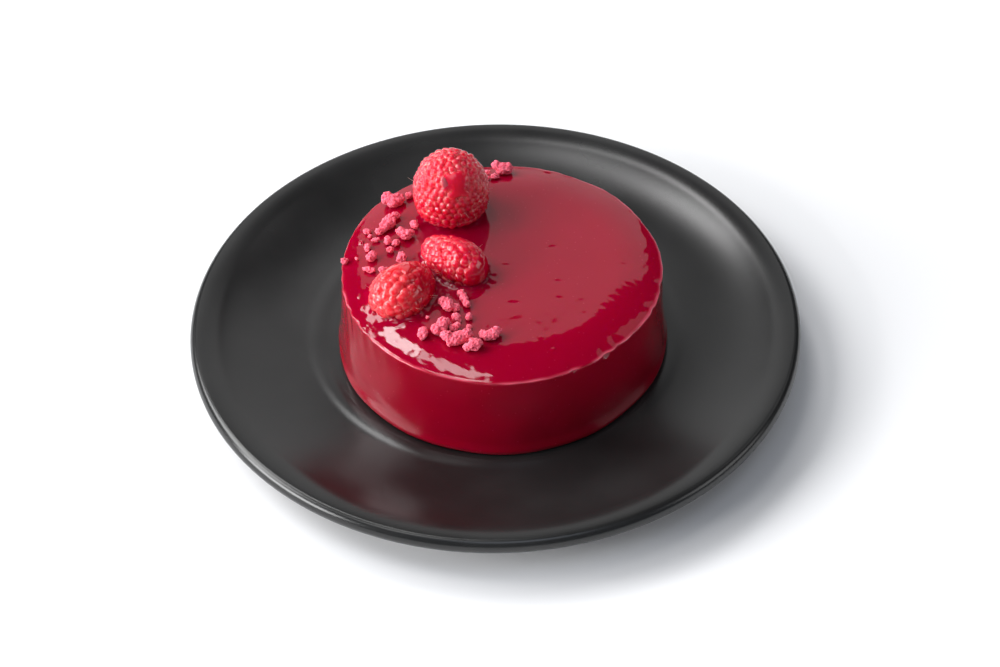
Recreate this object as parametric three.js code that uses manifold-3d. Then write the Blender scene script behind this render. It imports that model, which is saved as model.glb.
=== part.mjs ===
// A glazed raspberry cake on its side plate. Millimetres, +Z up.
// The plate's axis is the Z axis, z = 0 is the underside of its foot ring, and the cake's front faces -Y.
import * as THREE from "three";
import { mergeVertices } from "three/addons/utils/BufferGeometryUtils.js";
import Module from "manifold-3d";

const wasm = await Module();
wasm.setup();

// Driving dimensions of the plate: a shallow stoneware coupe, turned and glazed.
const PLATE = {
  wellHeight: 8.4, // upper side of the flat middle
  thickness: 4.3,
  riseStart: 47, // radius where the flat middle ends
  steepest: 69, // radius where the rise is steepest
  crest: 74.6, // radius of the lip's highest line
  slope: 0.4, // rise per millimetre at the steepest radius
  easing: 1.2, // how the slope grows from riseStart to steepest
  lipOut: 1.9, // how far the lip reaches past its crest
  lipDown: 2.1, // drop from the crest to the outermost line
  rollIn: 2.6, // how far the lip's underside tucks back in
  rollDown: 2.2, // drop from the outermost line to where the underside goes on
  humpRadius: 44.8, // the faint swelling over the foot ring
  humpHalfWidth: 3.4,
  humpHeight: 0.42,
  footInner: 42.8,
  footOuter: 46.4,
  footRound: 0.5,
  footSplay: 1.5, // how far the foot ring widens on each side towards its root
  underside: 3.6, // height of the recessed base inside the foot ring
  segments: 56,
};

// Driving dimensions of the cake: a low mousse drum under a mirror glaze.
const CAKE = {
  x: 1.6,
  y: -2.8,
  seatGap: 0.3,
  height: 24.6, // from its base to the flat top
  edgeDrop: 1.7, // how far the glaze falls from the flat top to its edge
  flatRadius: 28, // where that fall starts
  edgeRadius: 38.9,
  edgeRound: 0.5,
  foot: { radius: 41.2, height: 1.6, undercut: 0.8 }, // the bulge of run-down glaze at the base
  ankle: { radius: 40.7, height: 3.6 }, // where that bulge ends
  waist: { radius: 39.8, height: 13 },
  wobble: 0.22, // unevenness of the poured edge
  segments: 60,
};
const CAKE_BASE = PLATE.wellHeight + CAKE.seatGap;
const CAKE_TOP = CAKE_BASE + CAKE.height;

// The three raspberries: base centre from the cake's axis, length, largest radius and the grain, a
// drupelet's width. One is whole and stands on its open end. Two are halved lengthwise and lie on the
// cut side: the direction of their tip in degrees from +X and the height of their axis over the cut.
const BERRIES = [
  { name: "raspberry_tall", x: -12.1, y: 20.2, length: 18, radius: 9.7, grain: 3.9, halved: false },
  {
    name: "raspberry_middle", x: -4.3, y: -7.0, length: 19.5, radius: 6.2, grain: 3.1,
    halved: true, turn: 138, axisHeight: 1.6,
  },
  {
    name: "raspberry_front", x: -29.4, y: -18.1, length: 19, radius: 7.5, grain: 3.3,
    halved: true, turn: 52, axisHeight: 0.6,
  },
];
const BERRY_GAP = 0.3; // between a raspberry and the glaze
const FINEST = 0.18; // edges shorter than about this are merged
const WIDEST = 0.38; // the widest place, as a share of the length from the base
const BASE_SHARE = 0.9; // an open base's radius, as a share of the largest
const HOLLOW = { radius: 3, depth: 2.2 }; // where the raspberry came off its core
const DRUPELET = { size: 0.68, spacing: 0.88 }; // radius, and distance between rings, per grain
const CORE_INSET = 0.7; // from the drupelets' outer side to the core, per drupelet radius
const FACE_DEPTH = 0.795; // from an icosahedron's centre to its faces, per radius

// Crumbs of freeze-dried raspberry, placed by eye: x and y from the cake's axis, length, width and
// turn in degrees.
const LEFT_CRUMBS = [
  [-26.5, 23.4, 4.7, 4.5, 20],
  [-22.8, 26.0, 2.2, 1.8, 80],
  [-26.2, 17.8, 2.5, 2.4, 0],
  [-27.6, 14.6, 4.5, 4.0, 60],
  [-21.3, 14.0, 3.1, 2.4, 110],
  [-29.9, 12.1, 2.9, 2.5, 30],
  [-33.1, 12.9, 2.0, 1.5, 170],
  [-23.3, 10.0, 4.1, 3.5, 20],
  [-31.0, 9.2, 2.5, 1.5, 0],
  [-27.8, 8.2, 2.4, 2.2, 90],
  [-25.8, 7.6, 2.0, 1.8, 45],
  [-32.9, 6.5, 2.4, 1.9, 100],
  [-27.2, 5.0, 1.8, 1.8, 0],
  [-31.8, 2.5, 3.1, 2.8, 50],
  [-24.3, 1.6, 3.6, 3.0, 70],
  [-38.4, 2.9, 1.8, 1.8, 0],
  [-32.0, -1.8, 3.7, 1.9, 160],
  [-28.8, -2.2, 2.6, 2.1, 10],
];
const FRONT_CRUMBS = [
  [-9.0, -13.1, 5.4, 2.5, 112],
  [-13.2, -15.0, 4.4, 3.6, 140],
  [-11.1, -16.2, 2.0, 2.0, 0],
  [-10.9, -19.6, 2.9, 2.5, 110],
  [-14.5, -23.2, 5.2, 4.0, 65],
  [-7.9, -19.3, 2.4, 2.1, 90],
  [-11.4, -22.9, 3.0, 2.4, 15],
  [-7.9, -22.6, 1.5, 1.4, 0],
  [-10.5, -27.2, 7.4, 4.2, 22],
  [-18.9, -25.0, 3.8, 3.0, 95],
  [-2.7, -26.0, 4.9, 3.5, 25],
  [-6.7, -29.4, 3.9, 3.8, 60],
];
const BACK_CRUMBS = [
  [0.7, 35.4, 4.4, 4.0, 15],
  [-1.2, 32.6, 2.5, 2.0, 10],
  [-3.1, 34.4, 1.8, 1.5, 0],
  [-2.9, 32.0, 1.5, 1.1, 80],
];
// Finer crumbs strewn between them: centre of the patch, its half length and half width, turn and count.
const SPRINKLES = [
  { x: -31, y: 8, long: 18, wide: 5, turn: 97, count: 10 },
  { x: -11, y: -22, long: 9, wide: 5, turn: 150, count: 5 },
];
const CRUMB = {
  sink: 0.2, // how deep its body sits in the glaze, as a share of its radius
  body: 0.8, // the body's share of a crumb that has buds
  oneBud: 2.2, // lengths from which a crumb has one bud and two
  twoBuds: 3.8,
  unevenness: 0.16, // how far a lump's corners are pushed in or out
  margin: 1.8, // how far strewn crumbs keep from the edge
};

// Repeatable draws between 0 and 1.
function draws(seed) {
  let state = seed;
  return () => {
    state = (state * 16807) % 2147483647;
    return state / 2147483647;
  };
}

// A closed three.js geometry as a solid, and a solid as a geometry.
function solidFrom(geometry) {
  geometry.deleteAttribute("normal");
  geometry.deleteAttribute("uv");
  const merged = mergeVertices(geometry, 1e-4);
  const vertProperties = new Float32Array(merged.attributes.position.array);
  const triVerts = new Uint32Array(merged.index.array);
  return new wasm.Manifold(new wasm.Mesh({ numProp: 3, vertProperties, triVerts }));
}

// The outer surface alone, with any sealed pocket between the joined pieces filled and slivers merged.
function outerShell(solid, finest) {
  const pieces = solid.simplify(finest).decompose();
  return pieces.reduce((best, piece) => (piece.volume() > best.volume() ? piece : best));
}

function geometryFrom(solid) {
  const mesh = solid.getMesh();
  const geometry = new THREE.BufferGeometry();
  geometry.setAttribute("position", new THREE.BufferAttribute(mesh.vertProperties, 3));
  geometry.setIndex(new THREE.BufferAttribute(mesh.triVerts, 1));
  geometry.computeVertexNormals();
  return geometry;
}

// A profile of [radius, height] pairs, from the lower axis point out and up to the upper one, turned about Z.
function turned(profile, segments) {
  const points = profile.map(([r, z]) => new THREE.Vector2(r, z));
  return new THREE.LatheGeometry(points, segments).rotateX(Math.PI / 2);
}

// Upper side of the plate at a radius inside the lip's crest.
function plateTop(r) {
  const { wellHeight, riseStart, steepest, crest, slope, easing } = PLATE;
  const hump = Math.abs(r - PLATE.humpRadius) / PLATE.humpHalfWidth;
  const swelling = hump < 1 ? PLATE.humpHeight * Math.cos((hump * Math.PI) / 2) ** 2 : 0;
  const run = steepest - riseStart;
  const risen = Math.min(Math.max(r - riseStart, 0), run) / run;
  const rise = (slope * run * risen ** (easing + 1)) / (easing + 1);
  const past = Math.max(r - steepest, 0);
  const turnOver = slope * (past - past ** 2 / (2 * (crest - steepest)));
  return wellHeight + swelling + rise + turnOver;
}

// Points of an ellipse about a centre, between two angles in degrees.
function arc(cx, cz, a, b, from, to, steps) {
  return Array.from({ length: steps + 1 }, (_, i) => {
    const t = THREE.MathUtils.degToRad(from + ((to - from) * i) / steps);
    return [cx + a * Math.cos(t), cz + b * Math.sin(t)];
  });
}

function plateGeometry() {
  const { crest, lipOut, lipDown, rollIn, rollDown, thickness } = PLATE;
  const { underside, footInner, footOuter, footRound, footSplay } = PLATE;
  const crestHeight = plateTop(crest);
  const lipHeight = crestHeight - lipDown;
  const profile = [
    [0, underside],
    [footInner - footSplay, underside],
    ...arc(footInner + footRound, footRound, footRound, footRound, 180, 270, 1),
    ...arc(footOuter - footRound, footRound, footRound, footRound, 270, 360, 1),
  ];
  const undersideStops = [footOuter + footSplay, 58, 65, crest - rollIn];
  undersideStops.forEach((r) => profile.push([r, plateTop(r) - thickness]));
  profile.push(...arc(crest + lipOut - rollIn, lipHeight, rollIn, rollDown, -65, -8, 3));
  profile.push(...arc(crest, lipHeight, lipOut, lipDown, 22, 90, 3));
  const upperStops = [73, 71.2, 69, 65.5, 61, 55, 48.2, 46.4, 44.8, 43.2, 41.4];
  upperStops.forEach((r) => profile.push([r, plateTop(r)]));
  profile.push([0, PLATE.wellHeight]);
  return turned(profile, PLATE.segments);
}

// Height of the glaze above the table, at a distance from the cake's axis.
function glazeTop(distance) {
  const out = Math.max(distance - CAKE.flatRadius, 0) / (CAKE.edgeRadius - CAKE.flatRadius);
  return CAKE_TOP - CAKE.edgeDrop * out ** 2;
}

// How far the poured edge stands proud at an angle: a few slow waves.
function edgeWave(angle) {
  const waves = Math.sin(3 * angle + 0.8) + 0.6 * Math.sin(5 * angle + 2.1) + 0.4 * Math.sin(11 * angle);
  return CAKE.wobble * waves;
}

function cakeSolid() {
  const { edgeRadius, edgeRound, foot, ankle, waist } = CAKE;
  const edgeHeight = glazeTop(edgeRadius);
  const profile = [
    [0, CAKE_BASE],
    [foot.radius - foot.undercut, CAKE_BASE],
    [foot.radius - foot.undercut / 4, CAKE_BASE + foot.height / 3],
    [foot.radius, CAKE_BASE + foot.height],
    [ankle.radius, CAKE_BASE + ankle.height],
    [waist.radius, CAKE_BASE + waist.height],
    [edgeRadius + edgeRound, edgeHeight - 3 * edgeRound],
    ...arc(edgeRadius, edgeHeight - edgeRound, edgeRound, edgeRound, 15, 75, 2),
  ];
  [37.4, 35.4, 33, 30.5, CAKE.flatRadius].forEach((r) => profile.push([r, glazeTop(r)]));
  profile.push([0, CAKE_TOP]);
  const geometry = turned(profile, CAKE.segments);
  const position = geometry.getAttribute("position");
  for (let i = 0; i < position.count; i++) {
    const x = position.getX(i);
    const y = position.getY(i);
    const r = Math.hypot(x, y);
    if (r < CAKE.flatRadius) continue;
    const stretch = 1 + edgeWave(Math.round(Math.atan2(y, x) * 1e4) / 1e4) / r;
    position.setXY(i, x * stretch, y * stretch);
  }
  return solidFrom(geometry);
}

// A value drawn between two others.
function between(low, high, random) {
  return low + (high - low) * random();
}

// A lump: an icosahedron whose corners are pushed in and out and which lies along a direction.
function lump(centre, long, wide, tall, turn, random) {
  const geometry = new THREE.IcosahedronGeometry(1);
  geometry.deleteAttribute("normal");
  geometry.deleteAttribute("uv");
  const merged = mergeVertices(geometry, 1e-4);
  const position = merged.getAttribute("position");
  for (let i = 0; i < position.count; i++) {
    const push = between(1 - CRUMB.unevenness, 1 + CRUMB.unevenness, random);
    position.setXYZ(i, position.getX(i) * push, position.getY(i) * push, position.getZ(i) * push);
  }
  merged.scale(long, wide, tall).rotateZ(turn).translate(centre.x, centre.y, centre.z);
  return solidFrom(merged);
}

// One crumb: a body with smaller lumps budding from its ends, more of them on a large crumb.
function crumb([x, y, long, wide, degrees], random) {
  const turn = THREE.MathUtils.degToRad(degrees);
  const along = new THREE.Vector2(Math.cos(turn), Math.sin(turn));
  const onGlaze = (px, py, rise) => new THREE.Vector3(px, py, glazeTop(Math.hypot(px, py)) + rise);
  const buds = long > CRUMB.twoBuds ? 2 : long > CRUMB.oneBud ? 1 : 0;
  const share = buds ? CRUMB.body : 1;
  const half = wide / 2;
  const thick = half * share;
  const body = onGlaze(x, y, thick * (1 - CRUMB.sink));
  const lumps = [lump(body, (long / 2) * share, thick, thick, turn, random)];
  for (let i = 0; i < buds; i++) {
    const end = i % 2 ? -1 : 1;
    const reach = (long / 2 - half * 0.45) * end * between(0.75, 1.05, random);
    const aside = half * (between(-0.25, 0.25, random) + (i ? 0.4 : 0));
    const size = half * between(0.5, 0.75, random);
    const px = x + along.x * reach - along.y * aside;
    const py = y + along.y * reach + along.x * aside;
    const rise = size * (1 - CRUMB.sink) + half * between(0, 0.5, random);
    lumps.push(lump(onGlaze(px, py, rise), size, size, size, turn, random));
  }
  return lumps;
}

function crumbSolids() {
  const random = draws(4127);
  const solids = [...LEFT_CRUMBS, ...FRONT_CRUMBS, ...BACK_CRUMBS].flatMap((spec) => crumb(spec, random));
  for (const { x, y, long, wide, turn, count } of SPRINKLES) {
    const angle = THREE.MathUtils.degToRad(turn);
    for (let i = 0; i < count; i++) {
      const u = between(-long, long, random);
      const v = between(-wide, wide, random);
      const px = x + u * Math.cos(angle) - v * Math.sin(angle);
      const py = y + u * Math.sin(angle) + v * Math.cos(angle);
      const size = between(0.7, 1.4, random);
      const degrees = 360 * random();
      if (Math.hypot(px, py) > CAKE.edgeRadius - CRUMB.margin) continue;
      solids.push(...crumb([px, py, size, size * 0.8, degrees], random));
    }
  }
  return solids;
}

// Radius of a raspberry at a share of its length: widest low down, and from there rounded towards the
// tip and towards the base, which is open on a whole raspberry and closed on a halved one.
function berryRadius(share, { radius, halved }) {
  const base = halved ? 0 : BASE_SHARE;
  const tuck = (WIDEST - share) / WIDEST;
  if (tuck > 0) return radius * (base + (1 - base) * Math.sqrt(1 - tuck ** 2));
  return radius * Math.sqrt(Math.max(0, 1 - ((share - WIDEST) / (1 - WIDEST)) ** 2));
}

// Places of the drupelets on the nominal surface: rings from the base to the tip, staggered.
function drupelets(berry) {
  const { length, grain } = berry;
  const steps = 200;
  const places = [];
  let travelled = 0;
  let nextRing = grain * 0.35;
  let ring = 0;
  for (let i = 1; i <= steps; i++) {
    const share = i / steps;
    const r = berryRadius(share, berry);
    const before = berryRadius(share - 1 / steps, berry);
    travelled += Math.hypot(r - before, length / steps);
    if (travelled < nextRing) continue;
    nextRing += grain * DRUPELET.spacing;
    const outward = new THREE.Vector2(length / steps, before - r).normalize();
    const count = Math.max(1, Math.round((2 * Math.PI * (r - grain * 0.3)) / grain));
    for (let k = 0; k < count; k++) {
      const angle = (2 * Math.PI * (k + (ring % 2) / 2)) / count + ring * 0.21;
      const around = new THREE.Vector3(Math.cos(angle), Math.sin(angle), 0);
      const point = around.clone().multiplyScalar(r).setZ(share * length);
      const normal = around.multiplyScalar(outward.x).setZ(outward.y);
      places.push({ point, normal });
    }
    ring++;
  }
  const tip = new THREE.Vector3(0, 0, 1);
  places.push({ point: new THREE.Vector3(0, 0, length), normal: tip });
  return places;
}

// A raspberry's core, inside its drupelets: with the hollow of its open end, or closed.
function coreProfile(berry, inset) {
  const { length, halved } = berry;
  const open = [
    [0, HOLLOW.depth],
    [HOLLOW.radius * 0.7, HOLLOW.depth],
    [HOLLOW.radius, inset * 0.3],
    [berryRadius(0, berry) - inset, inset * 0.3],
  ];
  const profile = halved ? [[0, inset]] : open;
  [0.15, 0.38, 0.6, 0.78, 0.9].forEach((share) => {
    profile.push([berryRadius(share, berry) - inset, inset * 0.3 + share * (length - inset * 1.3)]);
  });
  profile.push([0, length - inset]);
  return profile;
}

// A raspberry standing on its base at the origin, tip up: a core with a drupelet on each place.
function berrySolid(berry) {
  const random = draws(977 + Math.round(100 * berry.radius));
  const size = berry.grain * DRUPELET.size;
  const inset = size * CORE_INSET;
  const faceDepth = size * FACE_DEPTH;
  const lobes = drupelets(berry).map(({ point, normal }) => {
    const ball = new THREE.IcosahedronGeometry(size);
    const position = ball.getAttribute("position");
    const corners = [0, 1, 2].map((i) => new THREE.Vector3().fromBufferAttribute(position, i));
    const face = corners[0].add(corners[1]).add(corners[2]).normalize();
    const swing = new THREE.Quaternion().setFromUnitVectors(face, normal);
    const spin = new THREE.Quaternion().setFromAxisAngle(normal, 2 * Math.PI * random());
    ball.applyQuaternion(swing).applyQuaternion(spin);
    const centre = point.clone().addScaledVector(normal, -faceDepth);
    centre.z = Math.max(centre.z, faceDepth);
    ball.translate(centre.x, centre.y, centre.z);
    return solidFrom(ball);
  });
  return wasm.Manifold.union([solidFrom(turned(coreProfile(berry, inset), 16)), ...lobes]);
}

// The direction in which a halved raspberry's tip points.
function tipDirection(berry) {
  const turn = THREE.MathUtils.degToRad(berry.turn);
  return new THREE.Vector3(Math.cos(turn), Math.sin(turn), 0);
}

// A halved raspberry, still standing: laid down with its tip along a direction, that side goes down.
function halve(solid, berry) {
  const down = tipDirection(berry);
  return solid.trimByPlane([-down.x, -down.y, 0], -berry.axisHeight);
}

// A raspberry moved onto the glaze, a halved one laid on its cut side.
function place(mesh, berry) {
  if (berry.halved) mesh.quaternion.setFromUnitVectors(new THREE.Vector3(0, 0, 1), tipDirection(berry));
  mesh.position.set(CAKE.x + berry.x, CAKE.y + berry.y, 0);
  mesh.updateMatrixWorld(true);
  const lowest = new THREE.Box3().setFromObject(mesh, true).min.z;
  mesh.position.z = CAKE_TOP + BERRY_GAP - lowest;
}

const blackGlaze = new THREE.MeshStandardMaterial({ color: 0x17171a, roughness: 0.32, metalness: 0 });
const mirrorGlaze = new THREE.MeshStandardMaterial({ color: 0x8f0a22, roughness: 0.06, metalness: 0 });
const berrySkin = new THREE.MeshStandardMaterial({ color: 0xd0213a, roughness: 0.35, metalness: 0 });

const group = new THREE.Group();

const plate = new THREE.Mesh(plateGeometry(), blackGlaze);
plate.name = "plate";
group.add(plate);

const crumbs = wasm.Manifold.union(crumbSolids()).simplify(FINEST);
const glazedCake = outerShell(cakeSolid().add(crumbs), FINEST / 2);
const cake = new THREE.Mesh(geometryFrom(glazedCake), mirrorGlaze);
cake.name = "cake";
cake.position.set(CAKE.x, CAKE.y, 0);
group.add(cake);

for (const berry of BERRIES) {
  const whole = berrySolid(berry);
  const fruit = outerShell(berry.halved ? halve(whole, berry) : whole, FINEST);
  const mesh = new THREE.Mesh(geometryFrom(fruit), berrySkin.clone());
  mesh.name = berry.name;
  place(mesh, berry);
  group.add(mesh);
}

export default group;
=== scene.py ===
import math

import bmesh
import bpy
import numpy as np
from mathutils import Matrix, Quaternion, Vector, noise


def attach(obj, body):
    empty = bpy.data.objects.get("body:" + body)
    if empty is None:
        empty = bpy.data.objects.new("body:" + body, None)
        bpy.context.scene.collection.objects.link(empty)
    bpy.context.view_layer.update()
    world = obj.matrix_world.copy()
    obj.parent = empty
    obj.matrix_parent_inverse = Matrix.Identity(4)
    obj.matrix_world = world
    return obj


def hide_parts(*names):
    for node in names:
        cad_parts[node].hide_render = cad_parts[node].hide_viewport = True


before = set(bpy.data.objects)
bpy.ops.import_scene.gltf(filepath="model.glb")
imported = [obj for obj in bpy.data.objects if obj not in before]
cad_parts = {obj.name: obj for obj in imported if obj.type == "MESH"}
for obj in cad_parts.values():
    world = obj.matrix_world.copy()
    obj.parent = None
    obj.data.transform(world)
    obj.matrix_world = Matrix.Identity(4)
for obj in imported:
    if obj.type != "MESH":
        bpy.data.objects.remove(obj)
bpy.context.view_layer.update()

# ---------------------------------------------------------------------------------------------
# Camera. A long lens in front of the cake, looking down at 44 degrees, its horizon a hair off
# level.
# ---------------------------------------------------------------------------------------------
MM = 0.001
LENS = 90  # mm, on a sensor 36 mm wide
SENSOR = 36
CAMERA_AT = Vector((0, -454.2, 446.3)) * MM
AIMED_AT = Vector((1.12, -6.59, 13.3)) * MM
ROLL = math.radians(-0.85)

ahead = (AIMED_AT - CAMERA_AT).normalized()
right = ahead.cross(Vector((0, 0, 1))).normalized()
above = right.cross(ahead)
rolled_right = right * math.cos(ROLL) + above * math.sin(ROLL)
rolled_above = above * math.cos(ROLL) - right * math.sin(ROLL)
camera = bpy.data.objects.new("camera", bpy.data.cameras.new("camera"))
camera.data.lens = LENS
camera.data.sensor_width = SENSOR
camera.data.clip_start = 0.01
camera.data.clip_end = 50
facing = Matrix((rolled_right, rolled_above, -ahead)).transposed().to_4x4()
camera.matrix_world = Matrix.Translation(CAMERA_AT) @ facing
bpy.context.scene.collection.objects.link(camera)
bpy.context.scene.camera = camera

# ---------------------------------------------------------------------------------------------
# The plate. A shallow coupe side plate, jiggered in stoneware and dipped in a satin black glaze.
# Its turned foot ring is wiped bare so that it can stand in the kiln.
# ---------------------------------------------------------------------------------------------
WELL_HEIGHT = 8.4  # mm from here on: upper side of the flat middle
PLATE_THICKNESS = 4.3
RISE_START = 47.0  # radius where the flat middle ends
STEEPEST = 69.0
CREST = 74.6  # radius of the lip's highest line
SLOPE = 0.4  # rise per millimetre at the steepest radius
EASING = 1.2  # how the slope grows up to there
LIP_OUT = 1.9
LIP_DOWN = 2.1
ROLL_IN = 2.6
ROLL_DOWN = 2.2
# The faint swelling over the foot ring, highest towards one side, in degrees from +X, and least, as a
# share of that, away from it.
HUMP = {"radius": 44.8, "half_width": 3.4, "height": 0.38, "side": -122, "least": 0.3}
FOOT_INNER = 42.8
FOOT_OUTER = 46.4
FOOT_ROUND = 0.5
FOOT_SPLAY = 1.5
RECESS = 3.6  # height of the base inside the foot ring
PLATE_COLUMNS = 240
GLAZE_BLACK = "1A1A1A"
GLAZE_WORN = "242424"
BARE_STONEWARE = "6B655E"
GROG_SPECK = "4A4641"


def plate_top(r):
    """Height of the plate's upper side at a radius, without the swelling over the foot ring."""
    run = STEEPEST - RISE_START
    risen = min(max(r - RISE_START, 0), run) / run
    rise = SLOPE * run * risen ** (EASING + 1) / (EASING + 1)
    past = max(r - STEEPEST, 0)
    return WELL_HEIGHT + rise + SLOPE * (past - past ** 2 / (2 * (CREST - STEEPEST)))


def arc(centre, radii, start, end, steps):
    """Points of an ellipse between two angles in degrees."""
    angles = np.radians(np.linspace(start, end, steps + 1))
    return [(centre[0] + radii[0] * math.cos(a), centre[1] + radii[1] * math.sin(a)) for a in angles]


def turned(profile, columns):
    """Rings of points of an (radius, height) outline turned about Z."""
    outline = np.array(profile, float)
    angles = np.linspace(0, 2 * math.pi, columns, endpoint=False)
    radius, height = outline[:, :1], outline[:, 1:]
    level = np.broadcast_to(height, (len(outline), columns))
    return np.stack([radius * np.cos(angles), radius * np.sin(angles), level], axis=2)


def skin_through(name, rings, first_pole, last_pole, material):
    """A closed smooth mesh through rings of points in millimetres, wound to face outwards."""
    rows, columns = rings.shape[:2]
    points = np.vstack([rings.reshape(-1, 3), [first_pole], [last_pole]]) * MM
    row, column = (grid.ravel() for grid in np.indices((rows - 1, columns)))
    here = row * columns + column
    beside = row * columns + (column + 1) % columns
    quads = np.stack([here, beside, beside + columns, here + columns], axis=1).tolist()
    first, last, top = rows * columns, rows * columns + 1, (rows - 1) * columns
    fans = [(first, (c + 1) % columns, c) for c in range(columns)]
    fans += [(last, top + c, top + (c + 1) % columns) for c in range(columns)]
    return mesh_piece(name, points, quads + fans, material)


def mesh_piece(name, points, faces, material):
    """A smooth mesh object from points in metres, with its material, riding on the one body."""
    mesh = bpy.data.meshes.new(name)
    mesh.from_pydata(points.tolist(), [], faces)
    mesh.shade_smooth()
    mesh.materials.append(material)
    piece = bpy.data.objects.new(name, mesh)
    bpy.context.scene.collection.objects.link(piece)
    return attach(piece, "root")


def linear(code):
    """An sRGB hex colour as linear red, green, blue and alpha."""
    parts = [int(code[i:i + 2], 16) / 255 for i in (0, 2, 4)]
    return [c / 12.92 if c <= 0.04045 else ((c + 0.055) / 1.055) ** 2.4 for c in parts] + [1]


def add_node(tree, kind, inputs=None, stops=(), **settings):
    """A shader node with its settings; each input is a value or the socket that feeds it."""
    made = tree.nodes.new("ShaderNode" + kind)
    for name, value in settings.items():
        setattr(made, name, value)
    for name, value in (inputs or {}).items():
        if isinstance(value, bpy.types.NodeSocket):
            tree.links.new(value, made.inputs[name])
        else:
            made.inputs[name].default_value = value
    for i, (position, code) in enumerate(stops):
        while len(made.color_ramp.elements) <= i:
            made.color_ramp.elements.new(1)
        made.color_ramp.elements[i].position = position
        made.color_ramp.elements[i].color = linear(code)
    return made


def new_material(name):
    """A new material: itself, its node tree and the coordinates of the object that wears it."""
    material = bpy.data.materials.new(name)
    material.use_nodes = True
    tree = material.node_tree
    tree.nodes.clear()
    return material, tree, add_node(tree, "TexCoord").outputs["Object"]


def surfaced(material, kind, inputs):
    """The material, with a shader of that kind and those inputs as its surface."""
    shader = add_node(material.node_tree, kind, inputs)
    add_node(material.node_tree, "OutputMaterial", {"Surface": shader.outputs["BSDF"]})
    return material


def satin_black_glaze():
    """Iron-black glaze on stoneware, fired satin: a soft broad sheen over an almost black body,
    with faint clouds where the glaze ran thinner and a fine orange peel."""
    material, tree, at = new_material("satin_black_glaze_fired")
    clouds = add_node(tree, "TexNoise", {"Vector": at, "Scale": 1 / (22 * MM), "Detail": 3})
    colour = add_node(tree, "ValToRGB", {"Fac": clouds.outputs["Fac"]},
                      stops=[(0.35, GLAZE_BLACK), (0.75, GLAZE_WORN)])
    sheen = add_node(tree, "MapRange", {"Value": clouds.outputs["Fac"], "To Min": 0.22, "To Max": 0.27})
    peel = add_node(tree, "TexNoise", {"Vector": at, "Scale": 1 / (1.6 * MM), "Detail": 2})
    relief = add_node(tree, "Bump", {"Height": peel.outputs["Fac"], "Distance": 0.006 * MM,
                                     "Strength": 0.6})
    return surfaced(material, "BsdfPrincipled", {
        "Base Color": colour.outputs["Color"], "Roughness": sheen.outputs["Result"],
        "Normal": relief.outputs["Normal"], "IOR": 1.5,
    })


def bare_stoneware():
    """Unglazed stoneware on the foot ring's standing face: dull grey-brown with sandy grog specks."""
    material, tree, at = new_material("bare_stoneware_wiped")
    grog = add_node(tree, "TexNoise", {"Vector": at, "Scale": 1 / (0.5 * MM), "Detail": 4})
    colour = add_node(tree, "ValToRGB", {"Fac": grog.outputs["Fac"]},
                      stops=[(0.4, GROG_SPECK), (0.6, BARE_STONEWARE)])
    relief = add_node(tree, "Bump", {"Height": grog.outputs["Fac"], "Distance": 0.05 * MM})
    return surfaced(material, "BsdfPrincipled", {
        "Base Color": colour.outputs["Color"], "Roughness": 0.85, "Normal": relief.outputs["Normal"],
    })


def plate_profile():
    """The plate's outline from its axis underneath, out round the lip and back to the axis on top."""
    lip_height = plate_top(CREST) - LIP_DOWN
    outline = [(r, RECESS) for r in np.linspace(4, FOOT_INNER - FOOT_SPLAY, 10)]
    outline += arc((FOOT_INNER + FOOT_ROUND, FOOT_ROUND), (FOOT_ROUND,) * 2, 180, 270, 4)
    outline += arc((FOOT_OUTER - FOOT_ROUND, FOOT_ROUND), (FOOT_ROUND,) * 2, 270, 360, 4)
    outline += [(r, plate_top(r) - PLATE_THICKNESS)
                for r in np.linspace(FOOT_OUTER + FOOT_SPLAY, CREST - ROLL_IN, 16)]
    outline += arc((CREST + LIP_OUT - ROLL_IN, lip_height), (ROLL_IN, ROLL_DOWN), -65, -6, 14)
    outline += arc((CREST, lip_height), (LIP_OUT, LIP_DOWN), 0, 90, 30)
    outline += [(r, plate_top(r)) for r in np.linspace(CREST - 0.2, 1.5, 150)]
    return outline


def swelling(rings):
    """How much higher the glazed upper side stands where it sagged less, over the foot ring."""
    radius = np.hypot(rings[..., 0], rings[..., 1])
    off_side = np.arctan2(rings[..., 1], rings[..., 0]) - math.radians(HUMP["side"])
    share = HUMP["least"] + (1 - HUMP["least"]) * np.maximum(np.cos(off_side), 0) ** 4
    off_hump = np.minimum(np.abs(radius - HUMP["radius"]) / HUMP["half_width"], 1)
    upper = rings[..., 2] > WELL_HEIGHT - PLATE_THICKNESS / 2
    return HUMP["height"] * np.cos(off_hump * math.pi / 2) ** 2 * share * upper


plate_rings = turned(plate_profile(), PLATE_COLUMNS)
plate_rings[..., 2] += swelling(plate_rings)
plate = skin_through("stoneware_plate", plate_rings,
                     (0, 0, RECESS), (0, 0, WELL_HEIGHT), satin_black_glaze())
plate.data.materials.append(bare_stoneware())
for face in plate.data.polygons:
    if face.center.z < 0.3 * FOOT_ROUND * MM:
        face.material_index = 1
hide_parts("plate")

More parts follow.
